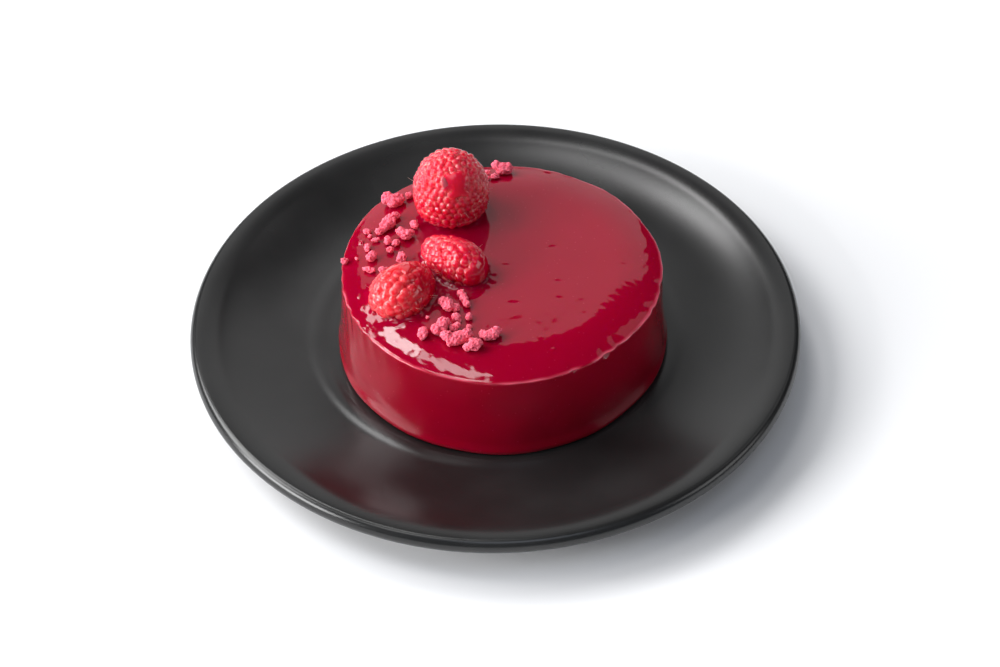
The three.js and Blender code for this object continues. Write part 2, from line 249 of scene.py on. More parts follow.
# ---------------------------------------------------------------------------------------------
# The cake. A drum of raspberry mousse, frozen in a ring mould and covered with a poured fruit
# glaze. The glaze slumps a little at the edge, runs down the side and gathers in a foot.
# ---------------------------------------------------------------------------------------------
CAKE_X = 1.6
CAKE_Y = -2.8
CAKE_BASE = WELL_HEIGHT + 0.3
CAKE_TOP = CAKE_BASE + 24.6
EDGE_DROP = 1.7  # how far the glaze falls from the flat top to its edge
FLAT_RADIUS = 28.0
EDGE_RADIUS = 38.9
EDGE_ROUND = 0.5
FOOT_BULGE = {"radius": 41.2, "height": 1.6, "undercut": 0.8}
ANKLE = {"radius": 40.7, "height": 3.6}
WAIST = {"radius": 39.8, "height": 13.0}
WOBBLE = 0.22  # how far the cake is out of round, in waves: times round, start in radians and share
WOBBLE_WAVES = [(3, 0.8, 1), (5, 2.1, 0.6), (11, 0, 0.4)]
CAKE_COLUMNS = 480
GLAZE_DEEP = "86001A"
GLAZE_CLOUD = "8C001E"
GLAZE_TOP_REFLECTION_TINT = "900023"  # painted reflection: a bluer red on top, for the bluish light it mirrors
GLAZE_EDGE_HIGHLIGHT = "DC6078"  # painted highlight: a pale line just under the edge
PULP_SPECK = "C4405A"
# Where the fruit sits in the glaze: the widest place's centre from the cake's axis, how far the seat
# reaches behind and ahead of it, half its width and its turn in degrees.
SEATS = [(-12.1, 20.2, 7.2, 7.2, 7.2, 0), (-9.8, -2.05, 7.1, 11.7, 6.0, 138),
         (-24.95, -12.4, 7.1, 11.6, 7.4, 52)]
SEAT_RISE = 0.6  # how high the glaze creeps up the fruit
SEAT_REACH = 0.8  # how far from the fruit it has fallen to about a third of that
SEAT_UNEVENNESS = 0.18
# Ripples left by pouring: height, wavelength and seed. The edge has finer ones, from one radius to the
# next, in which the reflections break up.
POUR_RIPPLES = [(0.014, 13, 5), (0.0035, 3.2, 6)]
EDGE_RIPPLE = {"height": 0.005, "wavelength": 2.3, "seed": 7, "from": 24, "full": 30}
SIDE_RIPPLE = {"height": 0.05, "wavelength": 16, "seed": 11}
EDGE_WAVER = {"height": 0.05, "wavelength": 3, "seed": 9}  # in and out along the edge
# A highlight painted as a pale line just below the edge: how far below and half how high, its share and
# the direction in radians, clockwise from +X, in which it is strongest, and how much patches add or take.
EDGE_HIGHLIGHT_LINE = {"below": 0.15, "half_height": 0.14, "share": 0.35, "side": 0.3, "patches": 0.3}
# Narrow folds where the glaze ran down one side: direction and spread in degrees, depth and spacing.
FOLDS = {"side": 196, "spread": 22, "depth": 0.13, "spacing": 0.75, "slant": 0.35}
# Small dents left by burst bubbles: place from the cake's axis, radius, depth.
DENTS = [(12.7, 5.9, 1.0, 0.06), (1.1, -0.4, 0.8, 0.05), (13.8, -6.5, 0.7, 0.05), (30.1, -0.8, 0.6, 0.05),
         (13.8, -12.5, 0.8, 0.06), (2.8, -14.0, 1.3, 0.07), (19.7, -17.9, 0.5, 0.045)]
# Bubbles still under the skin: place from the cake's axis, radius.
BUBBLES = [(9.2, -25.9, 0.3), (11.9, -30.0, 0.42), (24.9, -14.2, 0.25), (-3.4, -21.5, 0.22)]
# Drops of juice on the glaze: place from the cake's axis, radius and height.
DROPS = [(-34.5, 9.6, 0.8, 0.4), (-33.5, -13.8, 0.6, 0.35), (-16.3, -4.2, 0.5, 0.3),
         (-34.6, -9.9, 0.4, 0.25)]
# Nicks in the poured edge: direction in degrees, width along the edge, depth.
NICKS = [(-65, 0.9, 0.3), (-51, 1.4, 0.45), (-45, 0.8, 0.3), (-22, 1.1, 0.35), (-9, 1.6, 0.25)]


def ripple(x, y, wavelength, seed):
    """Uneven waves of about one wavelength in all directions, of about unit height."""
    draw = np.random.default_rng(seed)
    total = np.zeros_like(x)
    waves = 16
    for _ in range(waves):
        heading, phase = draw.uniform(0, 2 * math.pi, 2)
        pitch = 2 * math.pi / (wavelength * draw.uniform(0.7, 1.4))
        total += np.cos(pitch * (x * math.cos(heading) + y * math.sin(heading)) + phase)
    return total * math.sqrt(2 / waves)


def eased(value, start, end):
    """0 up to start, 1 from end on, with a smooth rise between."""
    share = np.clip((value - start) / (end - start), 0, 1)
    return share * share * (3 - 2 * share)


def cake_profile():
    """The cake's outline from its axis underneath, up the side and in to the axis on top."""
    edge_height = CAKE_TOP - EDGE_DROP
    foot, side_top = FOOT_BULGE, edge_height - 3 * EDGE_ROUND
    outline = [(r, CAKE_BASE) for r in np.linspace(4, foot["radius"] - foot["undercut"], 8)]
    outline += arc((foot["radius"] - foot["undercut"], CAKE_BASE + foot["height"]),
                   (foot["undercut"], foot["height"]), -75, 0, 7)
    bends = [(foot["radius"], CAKE_BASE + foot["height"]), (ANKLE["radius"], CAKE_BASE + ANKLE["height"]),
             (WAIST["radius"], CAKE_BASE + WAIST["height"]), (EDGE_RADIUS + EDGE_ROUND, side_top)]
    heights = np.linspace(bends[0][1], side_top, 52)[1:]
    radii = np.interp(heights, [b[1] for b in bends], [b[0] for b in bends])
    for _ in range(3):
        radii[1:-1] = (radii[:-2] + 2 * radii[1:-1] + radii[2:]) / 4
    outline += list(zip(radii, heights))
    outline += [(EDGE_RADIUS + EDGE_ROUND, side_top + step) for step in (0.3, 0.6, 0.85)]
    outline += arc((EDGE_RADIUS, edge_height - EDGE_ROUND), (EDGE_ROUND, EDGE_ROUND), 0, 72, 9)
    tops = np.concatenate([np.linspace(EDGE_RADIUS - 0.05, 34, 32), np.linspace(33.6, 0.5, 78)])
    outline += [(r, CAKE_TOP - EDGE_DROP * max((r - FLAT_RADIUS) / (EDGE_RADIUS - FLAT_RADIUS), 0) ** 2)
                for r in tops]
    return outline


def glaze_relief(x, y):
    """Unevenness of the poured top: slow and fine ripples, creep up the fruit, dents and bubbles."""
    height = sum(tall * ripple(x, y, wavelength, seed) for tall, wavelength, seed in POUR_RIPPLES)
    edge = EDGE_RIPPLE
    finer = edge["height"] * ripple(x, y, edge["wavelength"], edge["seed"])
    height += finer * eased(np.hypot(x, y), edge["from"], edge["full"])
    for cx, cy, behind, ahead_of, wide, turn in SEATS:
        c, s = math.cos(math.radians(turn)), math.sin(math.radians(turn))
        u, v = (x - cx) * c + (y - cy) * s, (y - cy) * c - (x - cx) * s
        share = np.maximum(np.hypot(u / np.where(u < 0, behind, ahead_of), v / wide), 1e-3)
        out = np.maximum(np.hypot(u, v) * (1 - 1 / share), 0)
        creep = SEAT_RISE * (1 + SEAT_UNEVENNESS * ripple(x, y, 2.6, 14))
        height += creep * np.exp(-out / SEAT_REACH)
    for cx, cy, radius, depth in DENTS:
        height -= depth * np.exp(-((x - cx) ** 2 + (2 * (y - cy)) ** 2) / radius ** 2)
    for cx, cy, radius in BUBBLES:
        height += 0.5 * radius * np.exp(-((x - cx) ** 2 + (y - cy) ** 2) / radius ** 2)
    for cx, cy, radius, tall in DROPS:
        height += tall * np.sqrt(np.maximum(1 - ((x - cx) ** 2 + (y - cy) ** 2) / radius ** 2, 0))
    return height


def poured_cake():
    """Rings of the cake's skin and, for each point, its painted edge highlight and whether it is on top."""
    rings = turned(cake_profile(), CAKE_COLUMNS)
    x, y, z = rings[..., 0], rings[..., 1], rings[..., 2]
    radius, angle = np.hypot(x, y), np.arctan2(y, x)
    waves = sum(share * np.sin(times * angle + start) for times, start, share in WOBBLE_WAVES)
    outward = WOBBLE * waves * eased(radius, 20, 36)
    near_edge = np.exp(-((z - (CAKE_TOP - EDGE_DROP)) / 1.2) ** 2) * eased(radius, 36, 38.5)
    along_edge, no_height = np.degrees(angle) / 2, np.zeros_like(angle)
    waver = ripple(along_edge, no_height, EDGE_WAVER["wavelength"], EDGE_WAVER["seed"])
    outward += EDGE_WAVER["height"] * waver * near_edge
    for direction, width, depth in NICKS:
        along = ((angle - math.radians(direction) + math.pi) % (2 * math.pi) - math.pi) * EDGE_RADIUS
        outward -= depth * np.exp(-(along / width) ** 2) * near_edge
    side = eased(radius, 38.7, 39.3) * eased(z, CAKE_BASE + 1, CAKE_BASE + 5)
    around = angle * EDGE_RADIUS
    swells = ripple(around, z, SIDE_RIPPLE["wavelength"], SIDE_RIPPLE["seed"])
    outward += SIDE_RIPPLE["height"] * side * swells
    fold_side = np.exp(-((np.degrees(angle) % 360 - FOLDS["side"]) / FOLDS["spread"]) ** 2)
    fold_height = eased(z, CAKE_TOP - 13, CAKE_TOP - 4)
    folds = np.sin(around / FOLDS["spacing"] + FOLDS["slant"] * z)
    outward += FOLDS["depth"] * side * fold_side * fold_height * folds
    scale = 1 + outward / np.maximum(radius, 1)
    x, y = x * scale, y * scale
    top = eased(z, CAKE_TOP - EDGE_DROP - 1, CAKE_TOP - EDGE_DROP)
    z = z + top * glaze_relief(x, y)
    # Painted highlight: a pale line just under the edge, strongest towards one side, where light catches
    # the ridge.
    off_line = rings[..., 2] - (CAKE_TOP - EDGE_DROP - EDGE_HIGHLIGHT_LINE["below"])
    edge_highlight = np.exp(-(off_line / EDGE_HIGHLIGHT_LINE["half_height"]) ** 2) * eased(radius, 38.5, 38.9)
    patches = EDGE_HIGHLIGHT_LINE["patches"] * ripple(along_edge, no_height, 5, 12)
    towards = EDGE_HIGHLIGHT_LINE["share"] * np.cos(angle + EDGE_HIGHLIGHT_LINE["side"])
    edge_highlight = edge_highlight * np.clip(EDGE_HIGHLIGHT_LINE["share"] + towards + patches, 0, 1)
    return np.stack([x + CAKE_X, y + CAKE_Y, z], axis=2), {"edge_highlight": edge_highlight, "crown": top}


def poured_fruit_glaze():
    """Raspberry glaze set with gelatine: a mirror gloss over a deep, slightly cloudy red, with
    specks of pulp in it, a pale highlight painted as a line just under the edge, and on top a bluer
    red painted for the bluish light the level glaze mirrors."""
    material, tree, at = new_material("raspberry_glaze_poured")
    clouds = add_node(tree, "TexNoise", {"Vector": at, "Scale": 1 / (9 * MM), "Detail": 4})
    body = add_node(tree, "ValToRGB", {"Fac": clouds.outputs["Fac"]},
                    stops=[(0.3, GLAZE_DEEP), (0.7, GLAZE_CLOUD)])
    # Painted reflection: on top the red is made bluer for the bluish light the level glaze mirrors.
    crown = add_node(tree, "Attribute", attribute_name="crown")
    tinted = add_node(tree, "Mix", {0: crown.outputs["Fac"], 6: body.outputs["Color"],
                                    7: linear(GLAZE_TOP_REFLECTION_TINT)}, data_type="RGBA")
    pulp = add_node(tree, "TexVoronoi", {"Vector": at, "Scale": 1 / (1.9 * MM), "Randomness": 1})
    speck = add_node(tree, "MapRange", {"Value": pulp.outputs["Distance"], "From Min": 0.12,
                                        "From Max": 0.06, "To Max": 0.25})
    speckled = add_node(tree, "Mix", {0: speck.outputs["Result"], 6: tinted.outputs[2],
                                      7: linear(PULP_SPECK)}, data_type="RGBA")
    # Painted highlight: the pale line under the edge.
    edge_highlight = add_node(tree, "Attribute", attribute_name="edge_highlight")
    colour = add_node(tree, "Mix", {0: edge_highlight.outputs["Fac"], 6: speckled.outputs[2],
                                    7: linear(GLAZE_EDGE_HIGHLIGHT)}, data_type="RGBA")
    fine = add_node(tree, "TexNoise", {"Vector": at, "Scale": 1 / (0.9 * MM), "Detail": 2})
    relief = add_node(tree, "Bump", {"Height": fine.outputs["Fac"], "Distance": 0.004 * MM,
                                     "Strength": 0.6})
    return surfaced(material, "BsdfPrincipled", {
        "Base Color": colour.outputs[2], "Roughness": 0.05, "IOR": 1.45, "Normal": relief.outputs["Normal"],
        "Subsurface Weight": 0.6, "Subsurface Scale": 4 * MM, "Subsurface Radius": (1.0, 0.12, 0.2),
    })


def add_layers(piece, layers):
    """Values at each point of a skin for its material to read, one set a layer, with its two poles'."""
    for layer, values in layers.items():
        made = piece.data.attributes.new(layer, "FLOAT", "POINT")
        made.data.foreach_set("value", np.append(values.ravel(), [values[0, 0], values[-1, 0]]))


cake_rings, cake_layers = poured_cake()
cake = skin_through("glazed_cake", cake_rings, (CAKE_X, CAKE_Y, CAKE_BASE),
                    cake_rings[-1].mean(axis=0), poured_fruit_glaze())
add_layers(cake, cake_layers)
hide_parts("cake")

# ---------------------------------------------------------------------------------------------
# The raspberries. Fresh fruit pulled off the core: drupelets packed in rings, moist and glossy, with
# pale fuzz between them. One stands on its open end, two are halved and lie on the cut side. The lit
# side of each is painted brighter, and a pale rim light is painted round each drupelet.
# ---------------------------------------------------------------------------------------------
# Base centre from the cake's axis, length, largest radius and, for a halved one, the direction of its
# tip and the height of its axis over the cut. Then a drupelet's width, how far it bulges and how far,
# as a share of its width, it strays from its place; the lit side, painted brighter, how strong the painted
# rim light and pale fuzz are, smooth patches (direction, half angle, how smooth) and three colours.
BERRIES = {
    "raspberry_tall": {
        "x": -12.1, "y": 20.2, "length": 18.0, "radius": 9.7, "halved": False,
        "grain": 1.95, "bulge": 1.45, "loose": 0.12, "lit_side": (-0.75, -0.25, 0.6), "down_and_rim_light_lace": 0.85,
        "smooth": [((0.22, -0.82, 0.53), 0.42, 1)],
        "deep": "C0002A", "bright": "D41034", "down": "E87A78",
    },
    "raspberry_middle": {
        "x": -4.3, "y": -7.0, "length": 19.5, "radius": 6.2, "halved": True, "turn": 138, "axis": 1.6,
        "grain": 2.3, "bulge": 1.15, "loose": 0.22, "lit_side": (-0.6, 0.3, 0.7), "down_and_rim_light_lace": 0.85,
        "smooth": [((0.75, -0.6, 0.1), 0.5, 1), ((0.5, 0.1, 0.85), 0.7, 0.55)],
        "deep": "C0002A", "bright": "D40E34", "down": "E87A78",
    },
    "raspberry_front": {
        "x": -29.4, "y": -18.1, "length": 19.0, "radius": 7.5, "halved": True, "turn": 52, "axis": 0.6,
        "grain": 2.6, "bulge": 1.1, "loose": 0.2, "lit_side": (-0.9, -0.2, 0.3), "down_and_rim_light_lace": 0.4,
        "smooth": [((-0.05, 0.3, 0.95), 0.42, 0.9), ((0.75, -0.25, 0.5), 0.6, 0.7)],
        "deep": "B80024", "bright": "E22C38", "down": "EC8076",
    },
}
WIDEST = 0.38  # the widest place, as a share of the length from the base
BASE_SHARE = 0.9  # an open base's radius, as a share of the largest
BASE_ROUND = 2.2
HOLLOW_RADIUS = 3.0
HOLLOW_DEPTH = 2.2
BERRY_COLUMNS = 300
ROW_STEP = 0.19
RING_SPACING = 0.86  # between rings of drupelets, per drupelet's width
DRUPELET_REACH = (0.6, 0.72)  # radius of a drupelet's dome, per its width
DRUPELET_SINK = 0.2  # how much lower than the highest one stands at most, per how far it bulges
SMOOTHING = 0.93  # how much of the relief a fully smooth patch loses
FRUIT_GAP = 0.3  # from the glaze to a halved raspberry's cut
OPEN_BASE_GAP = 0.1  # from the glaze to the standing one's base
STYLES_WHOLE = 34
STYLES_HALVED = 12
STYLE_LENGTHS = (0.5, 1.1)
STYLE_LEAN = 0.8
HAIR_RADIUS = 0.035
RIM_LIGHT_AT = 0.72  # painted rim light: a ring this share of the way from a drupelet's top to its outer radius
RIM_LIGHT_WIDTH = 0.09
STYLE_DARK = "D89888"
STYLE_PALE = "F0D4C8"


def berry_outline(length, radius, halved):
    """The fruit's outline, closely stepped, from the hollow's bottom or the closed base to the tip."""
    rim = BASE_SHARE * radius
    points = [(0.05, 0)] if halved else [(HOLLOW_RADIUS * s, HOLLOW_DEPTH * (1 - s ** 4))
                                         for s in np.linspace(0.05, 1, 30)]
    if not halved:
        points += [(r, 0) for r in np.linspace(HOLLOW_RADIUS + 0.1, rim - BASE_ROUND, 12)]
        points += arc((rim - BASE_ROUND, BASE_ROUND), (BASE_ROUND, BASE_ROUND), -85, -12, 20)
    for share in np.linspace(0.001 if halved else BASE_ROUND / length, 1, 400):
        tuck = (WIDEST - share) / WIDEST
        if share >= WIDEST:
            r = radius * math.sqrt(max(0, 1 - ((share - WIDEST) / (1 - WIDEST)) ** 2))
        elif halved:
            r = radius * math.sqrt(1 - tuck ** 2)
        else:
            r = radius * (1 - (1 - BASE_SHARE) * tuck ** 2)
        points.append((r, share * length))
    return np.array(points)


def along_outline(points):
    """Distance along an outline to each of its points."""
    steps = np.hypot(*np.diff(points, axis=0).T)
    return np.concatenate([[0], np.cumsum(steps)])


def drupelet_centres(outline, grain, loose, halved, draw):
    """Centres of the drupelets on the fruit, in staggered rings, each a little off its place."""
    travelled = along_outline(outline)
    start = grain * 0.4 if halved else travelled[np.argmax(outline[:, 0] > outline[:, 0].max() * 0.72)]
    centres = []
    for ring, stop in enumerate(np.arange(start, travelled[-1], grain * RING_SPACING)):
        r, z = (np.interp(stop, travelled, outline[:, i]) for i in (0, 1))
        count = max(1, round(2 * math.pi * r / grain))
        for k in range(count):
            angle = 2 * math.pi * (k + ring % 2 / 2) / count + 0.21 * ring
            shift = draw.uniform(-loose, loose, 3) * grain
            centres.append((r * math.cos(angle) + shift[0], r * math.sin(angle) + shift[1], z + shift[2]))
    return np.array(centres)


def berry_surface(berry, draw):
    """Rings of the smooth fruit in its place on the cake, the outward direction at each point and the
    places of its drupelets."""
    outline = berry_outline(berry["length"], berry["radius"], berry["halved"])
    travelled = along_outline(outline)
    stops = np.linspace(0, travelled[-1] - 0.08, int(travelled[-1] / ROW_STEP))
    rows = np.stack([np.interp(stops, travelled, outline[:, i]) for i in (0, 1)], axis=1)
    slopes = np.gradient(rows, axis=0)
    slopes /= np.hypot(*slopes.T)[:, None]
    rings = turned(rows, BERRY_COLUMNS)
    angles = np.linspace(0, 2 * math.pi, BERRY_COLUMNS, endpoint=False)
    outward = slopes[:, 1:] * np.ones_like(angles)
    normals = np.stack([outward * np.cos(angles), outward * np.sin(angles),
                        -slopes[:, :1] * np.ones_like(angles)], axis=2)
    centres = drupelet_centres(outline, berry["grain"], berry["loose"], berry["halved"], draw)
    turn = math.radians(berry.get("turn", 0))
    tip = Vector((math.cos(turn), math.sin(turn), 0)) if berry["halved"] else Vector((0, 0, 1))
    stand = np.array(Vector((0, 0, 1)).rotation_difference(tip).to_matrix()).T
    lift = FRUIT_GAP + berry["axis"] if berry["halved"] else OPEN_BASE_GAP
    seat = np.array([CAKE_X + berry["x"], CAKE_Y + berry["y"], CAKE_TOP + lift])
    poles = np.array([(0, 0, 0 if berry["halved"] else HOLLOW_DEPTH), (0, 0, berry["length"] - 0.02)])
    return rings @ stand + seat, normals @ stand, centres @ stand + seat, poles @ stand + seat


def berry_relief(rings, centres, middle, berry, draw):
    """How far each point of the skin stands in, and how much painted rim light, painted lit side and
    smooth patch it has."""
    grain, bulge = berry["grain"], berry["bulge"]
    best = np.full(rings.shape[:2], -bulge)
    off_top = np.ones_like(best)
    for centre in centres:
        away = np.linalg.norm(rings - centre, axis=2) / (grain * draw.uniform(*DRUPELET_REACH))
        dome = bulge * (draw.uniform(-DRUPELET_SINK, 0) - 1 + np.sqrt(np.maximum(1 - 0.9 * away ** 2, 0)))
        off_top = np.where(dome > best, away, off_top)
        best = np.maximum(best, dome)
    direction = rings - middle
    direction /= np.linalg.norm(direction, axis=2)[..., None]
    smooth = np.zeros_like(best)
    for toward, half_angle, amount in berry["smooth"]:
        off = np.arccos(np.clip(direction @ (np.array(toward) / np.linalg.norm(toward)), -1, 1))
        off += 0.08 * ripple(rings[..., 0], rings[..., 2], 3, 31)
        smooth = np.maximum(smooth, amount * (1 - eased(off, 0.75 * half_angle, 1.1 * half_angle)))
    # Painted light: how far each point faces the side the light comes from; the material paints that side a
    # brighter red.
    pale = 0.5 + 0.5 * direction @ (np.array(berry["lit_side"]) / np.linalg.norm(berry["lit_side"]))
    # Painted rim light: a pale ring round each drupelet's dome, where pale fuzz also lies.
    down_and_rim_light_lace = np.exp(-((off_top - RIM_LIGHT_AT) / RIM_LIGHT_WIDTH) ** 2)
    return best * (1 - SMOOTHING * smooth), {"down_and_rim_light_lace": down_and_rim_light_lace, "pale": pale, "smooth": smooth}


def settled(points):
    """Points of a halved fruit, with all that lies under the glaze flattened just below its surface."""
    away = np.hypot(points[..., 0] - CAKE_X, points[..., 1] - CAKE_Y)
    fall = np.maximum((away - FLAT_RADIUS) / (EDGE_RADIUS - FLAT_RADIUS), 0) ** 2
    lowest = CAKE_TOP - EDGE_DROP * fall - 0.05
    return np.concatenate([points[..., :2], np.maximum(points[..., 2], lowest)[..., None]], axis=-1)


def raspberry_flesh(name, berry):
    """Raspberry drupelets: fine taut skin over juice, wet-glossy and glowing from inside, deep red on one
    side and painted brighter on the lit one, with patchy pale fuzz round the drupelets and a pale rim
    light painted round each one's dome."""
    material, tree, at = new_material(name + "_skin_fresh")
    layers = {layer: add_node(tree, "Attribute", attribute_name=layer).outputs["Fac"]
              for layer in ("down_and_rim_light_lace", "pale", "smooth")}
    ripe = add_node(tree, "TexNoise", {"Vector": at, "Scale": 1 / (3.5 * MM), "Detail": 3})
    # Painted light: the red runs from deep to bright with random ripeness and with how far the point faces
    # the light.
    mottled = add_node(tree, "Math", {0: ripe.outputs["Fac"], 1: 0.9, 2: layers["pale"]},
                       operation="MULTIPLY_ADD")
    body = add_node(tree, "ValToRGB", {"Fac": add_node(tree, "MapRange", {
        "Value": mottled.outputs["Value"], "From Min": 0.75, "From Max": 1.45}).outputs["Result"]},
        stops=[(0, berry["deep"]), (1, berry["bright"])])
    wrinkle = add_node(tree, "TexNoise", {"Vector": at, "Scale": 1 / (0.8 * MM), "Detail": 2})
    bent = add_node(tree, "VectorMath", {0: wrinkle.outputs["Color"], 1: (0.7 * MM,) * 3, 2: at},
                    operation="MULTIPLY_ADD")
    cells = add_node(tree, "TexVoronoi", {"Vector": bent.outputs["Vector"], "Scale": 1 / (0.95 * MM)},
                     feature="DISTANCE_TO_EDGE")
    net = add_node(tree, "MapRange", {"Value": cells.outputs["Distance"], "From Min": 0.06,
                                      "From Max": 0.02, "To Max": 0.12})
    either = add_node(tree, "Math", {0: layers["down_and_rim_light_lace"], 1: net.outputs["Result"]}, operation="MAXIMUM")
    patchy = add_node(tree, "TexNoise", {"Vector": at, "Scale": 1 / (2.2 * MM), "Detail": 3})
    where = add_node(tree, "MapRange", {"Value": patchy.outputs["Fac"], "From Min": 0.4, "From Max": 0.62,
                                        "To Max": berry["down_and_rim_light_lace"]})
    bare = add_node(tree, "Math", {0: 1.0, 1: layers["smooth"]}, operation="SUBTRACT")
    kept = add_node(tree, "Math", {0: where.outputs["Result"], 1: bare.outputs["Value"]},
                    operation="MULTIPLY")
    downy = add_node(tree, "Math", {0: either.outputs["Value"], 1: kept.outputs["Value"]},
                     operation="MULTIPLY")
    # The pale colour is partly fuzz, in the net of fine lines, and partly painted rim light, in the rings.
    colour = add_node(tree, "Mix", {0: downy.outputs["Value"], 6: body.outputs["Color"],
                                    7: linear(berry["down"])}, data_type="RGBA")
    pucker = add_node(tree, "TexNoise", {"Vector": at, "Scale": 1 / (0.38 * MM), "Detail": 2})
    relief = add_node(tree, "Bump", {"Height": pucker.outputs["Fac"], "Distance": 0.03 * MM,
                                     "Strength": 0.5})
    gloss = add_node(tree, "MapRange", {"Value": downy.outputs["Value"], "To Min": 0.05, "To Max": 0.25})
    return surfaced(material, "BsdfPrincipled", {
        "Base Color": colour.outputs[2], "Roughness": gloss.outputs["Result"], "IOR": 1.38,
        "Normal": relief.outputs["Normal"], "Subsurface Weight": 0.9, "Subsurface Scale": 4 * MM,
        "Subsurface Radius": (1.0, 0.06, 0.1),
        "Coat Weight": 0.65, "Coat Roughness": 0.03, "Coat IOR": 1.44,
    })


def hairs(rings, normals, count, draw):
    """Dry styles standing off the fruit: slender three-sided threads, curved and tapering."""
    points, faces = [], []
    steps = 6
    rows = len(rings)
    while len(points) < count * steps * 3:
        row, column = draw.integers(rows // 5, rows * 4 // 5), draw.integers(0, BERRY_COLUMNS)
        root, normal = rings[row, column], normals[row, column]
        lean = draw.normal(0, STYLE_LEAN, 3)
        length = draw.uniform(*STYLE_LENGTHS)
        if root[2] < CAKE_TOP + 1.5 or normal[2] > 0.5:
            continue
        start = len(points)
        for i in range(steps):
            share = i / (steps - 1)
            centre = root + normal * length * share + lean * 0.5 * length * share ** 2
            width = HAIR_RADIUS * (1 - 0.6 * share)
            side = np.cross(normal, lean + 0.01)
            side /= np.linalg.norm(side)
            across = np.cross(normal, side)
            for corner in range(3):
                a = 2 * math.pi * corner / 3
                points.append(centre + width * (side * math.cos(a) + across * math.sin(a)))
        for i in range(steps - 1):
            for corner in range(3):
                a, b = start + 3 * i + corner, start + 3 * i + (corner + 1) % 3
                faces.append((a, b, b + 3, a + 3))
        end = start + 3 * (steps - 1)
        faces += [(start + 2, start + 1, start), (end, end + 1, end + 2)]
    return np.array(points), faces


def dry_style():
    """The flower's dried styles: a pale, pinkish straw, fairly dull."""
    material, tree, at = new_material("raspberry_style_dried")
    streak = add_node(tree, "TexNoise", {"Vector": at, "Scale": 1 / (1.0 * MM)})
    colour = add_node(tree, "ValToRGB", {"Fac": streak.outputs["Fac"]},
                      stops=[(0.3, STYLE_DARK), (0.7, STYLE_PALE)])
    return surfaced(material, "BsdfPrincipled", {"Base Color": colour.outputs["Color"], "Roughness": 0.5})


style_finish = dry_style()
for number, (name, berry) in enumerate(BERRIES.items()):
    draw = np.random.default_rng(40 + number)
    smooth_rings, skin_normals, centres, poles = berry_surface(berry, draw)
    middle = poles.mean(axis=0)
    depth, layers = berry_relief(smooth_rings, centres, middle, berry, draw)
    skin_rings = smooth_rings + skin_normals * depth[..., None]
    if berry["halved"]:
        skin_rings, poles = settled(skin_rings), settled(poles)
    fruit = skin_through(name + "_fruit", skin_rings, poles[0], poles[1], raspberry_flesh(name, berry))
    add_layers(fruit, layers)
    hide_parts(name)
    count = STYLES_HALVED if berry["halved"] else STYLES_WHOLE
    threads, thread_faces = hairs(skin_rings, skin_normals, count, draw)
    styles = mesh_piece(name + "_styles", threads * MM, thread_faces, style_finish)

# A flake of torn skin curls up at the tall raspberry's smooth patch: place from that fruit's foot.
FLAKE_AT = (-1.3, -6.7, 14.7)
FLAKE_HALF = (1.1, 0.25, 1.8)
FLAKE_TIPS = (-38, -20)  # degrees back about X and aside about Y
tip_back, tip_aside = (Matrix.Rotation(math.radians(a), 3, axis) for a, axis in zip(FLAKE_TIPS, "XY"))
flake_turn = np.array(tip_back @ tip_aside).T
flake_seat = np.array(FLAKE_AT) + (CAKE_X + BERRIES["raspberry_tall"]["x"],
                                   CAKE_Y + BERRIES["raspberry_tall"]["y"], CAKE_TOP)
flake_rings = turned(arc((0, 0), (1, 1), -84, 84, 12), 24)
flake_rings[..., 0] *= 0.75 - 0.35 * flake_rings[..., 2]
flake_rings[..., 1] += 0.9 * flake_rings[..., 2] ** 2
flake_ends = np.array([(0, 0.9, -1), (0, 0.9, 1)])
flake_rings, flake_ends = (points * FLAKE_HALF @ flake_turn + flake_seat
                           for points in (flake_rings, flake_ends))
flake_look = dict(BERRIES["raspberry_tall"], deep="CC4854", bright="E07078")
flake = skin_through("raspberry_tall_flake", flake_rings, flake_ends[0], flake_ends[1],
                     raspberry_flesh("raspberry_torn", flake_look))

# ---------------------------------------------------------------------------------------------
# The crumbs. Freeze-dried raspberry, broken by hand and strewn: light, dry, porous lumps that
# stick to the wet glaze.
# ---------------------------------------------------------------------------------------------
# Place from the cake's axis, length, width and turn in degrees.
LEFT_CRUMBS = [
    (-26.5, 23.4, 4.7, 4.5, 20), (-22.8, 26.0, 2.2, 1.8, 80), (-26.2, 17.8, 2.5, 2.4, 0),
    (-27.6, 14.6, 4.5, 4.0, 60), (-21.3, 14.0, 3.1, 2.4, 110), (-29.9, 12.1, 2.9, 2.5, 30),
    (-33.1, 12.9, 2.0, 1.5, 170), (-23.3, 10.0, 4.1, 3.5, 20), (-31.0, 9.2, 2.5, 1.5, 0),
    (-27.8, 8.2, 2.4, 2.2, 90), (-25.8, 7.6, 2.0, 1.8, 45), (-32.9, 6.5, 2.4, 1.9, 100),
    (-27.2, 5.0, 1.8, 1.8, 0), (-31.8, 2.5, 3.1, 2.8, 50), (-24.3, 1.6, 3.6, 3.0, 70),
    (-38.4, 2.9, 1.8, 1.8, 0), (-32.0, -1.8, 3.7, 1.9, 160), (-28.8, -2.2, 2.6, 2.1, 10),
]
FRONT_CRUMBS = [
    (-9.0, -13.1, 5.4, 2.5, 112), (-13.2, -15.0, 4.4, 3.6, 140), (-11.1, -16.2, 2.0, 2.0, 0),
    (-10.9, -19.6, 2.9, 2.5, 110), (-14.5, -23.2, 5.2, 4.0, 65), (-7.9, -19.3, 2.4, 2.1, 90),
    (-11.4, -22.9, 3.0, 2.4, 15), (-7.9, -22.6, 1.5, 1.4, 0), (-10.5, -27.2, 7.4, 4.2, 22),
    (-18.9, -25.0, 3.8, 3.0, 95), (-2.7, -26.0, 4.9, 3.5, 25), (-6.7, -29.4, 3.9, 3.8, 60),
]
